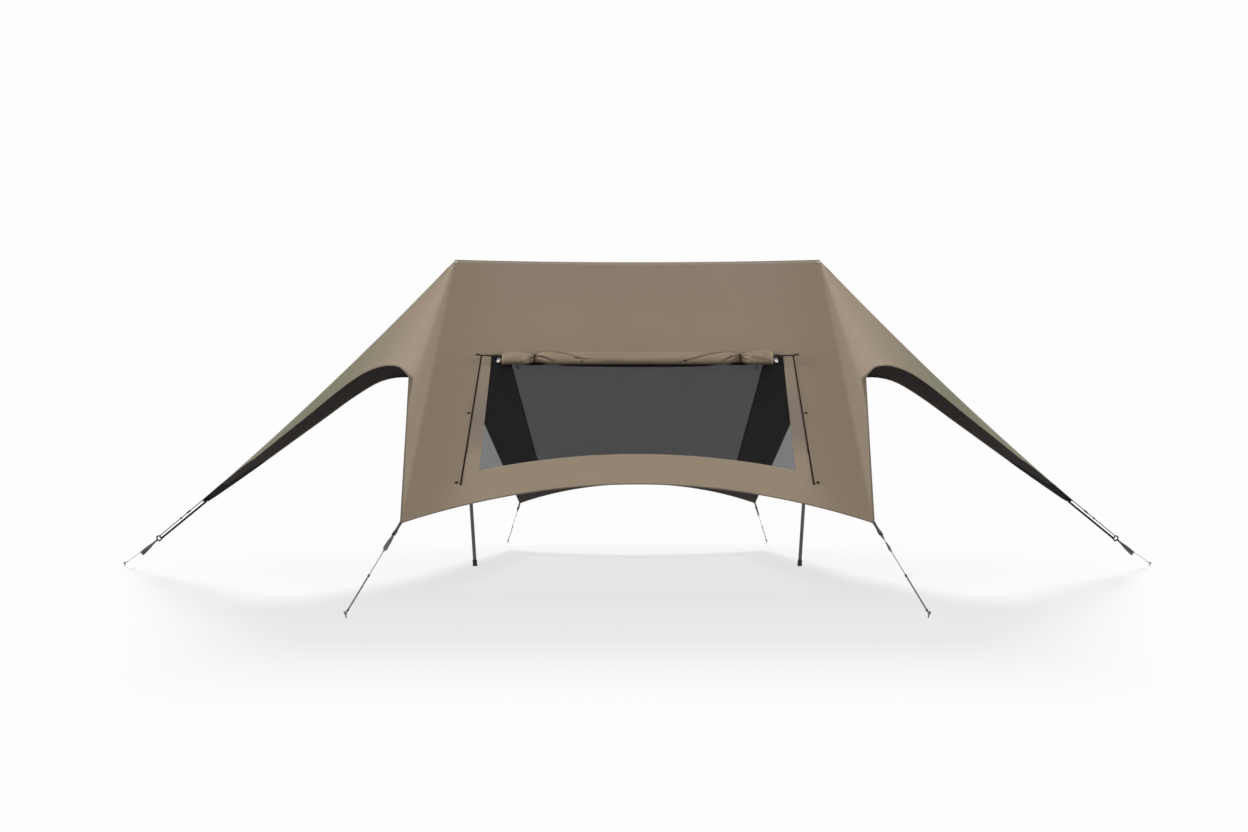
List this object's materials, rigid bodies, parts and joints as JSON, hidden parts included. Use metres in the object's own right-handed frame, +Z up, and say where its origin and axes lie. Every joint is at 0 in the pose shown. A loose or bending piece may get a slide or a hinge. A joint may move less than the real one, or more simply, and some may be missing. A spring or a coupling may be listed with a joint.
{
  "type": "camping sun shelter",
  "caption": "Canvas sun shelter on two leaning poles, with arched hems, a mesh window under a rolled flap front and rear, and two long pointed wings guyed to pegs.",
  "frame": {"origin": "on the ground, midway between the two poles and between the front and rear hems", "axes": "+X along the ridge to the right wing, -Y to the front with the window, +Z up"},
  "size_m": [7.4, 5.2978, 2.2],
  "materials": {
    "canvas": "taupe woven canvas, dark coating inside",
    "window_mesh": "fine black insect mesh",
    "black_webbing": "black ribbed webbing",
    "grey_webbing": "grey webbing, worn",
    "guy_cord": "pale grey braided cord",
    "zip_tape": "dark coil zip",
    "pole_grey": "satin grey paint",
    "foot_rubber": "matt black rubber",
    "buckle_plastic": "black moulded nylon",
    "zip_pull": "bright plated metal",
    "peg_steel": "dull galvanised steel"
  },
  "bodies": {
    "root": {"front_flap_roll": "canvas", "front_left_corner_guyline": "guy_cord", "front_left_corner_peg": "peg_steel", "front_left_corner_strap": "black_webbing", "front_left_gusset": "canvas", "front_left_panel": "canvas", "front_left_wing": "canvas", "front_right_corner_guyline": "guy_cord", "front_right_corner_peg": "peg_steel", "front_right_corner_strap": "black_webbing", "front_right_gusset": "canvas", "front_right_panel": "canvas", "front_right_wing": "canvas", "front_roll_tie_left": "black_webbing", "front_roll_tie_right": "black_webbing", "front_roof_panel": "canvas", "front_sill_panel": "canvas", "front_window_mesh": "window_mesh", "front_zip_left": "zip_tape", "front_zip_right": "zip_tape", "left_wing_cord": "guy_cord", "left_wing_guyline": "grey_webbing", "left_wing_peg": "peg_steel", "left_wing_strap": "black_webbing", "left_wing_tip_tab": "black_webbing", "pole_foot_left": "foot_rubber", "pole_foot_right": "foot_rubber", "pole_left": "pole_grey", "pole_right": "pole_grey", "rear_flap_roll": "canvas", "rear_hem_panel": "canvas", "rear_left_corner_guyline": "guy_cord", "rear_left_corner_peg": "peg_steel", "rear_left_corner_strap": "black_webbing", "rear_left_gusset": "canvas", "rear_left_panel": "canvas", "rear_left_wing": "canvas", "rear_right_corner_guyline": "guy_cord", "rear_right_corner_peg": "peg_steel", "rear_right_corner_strap": "black_webbing", "rear_right_gusset": "canvas", "rear_right_panel": "canvas", "rear_right_wing": "canvas", "rear_roll_tie_left": "black_webbing", "rear_roll_tie_right": "black_webbing", "rear_roof_panel": "canvas", "rear_window_mesh": "window_mesh", "right_wing_cord": "guy_cord", "right_wing_guyline": "grey_webbing", "right_wing_peg": "peg_steel", "right_wing_strap": "black_webbing", "right_wing_tip_tab": "black_webbing"}
  },
  "joints": []
}
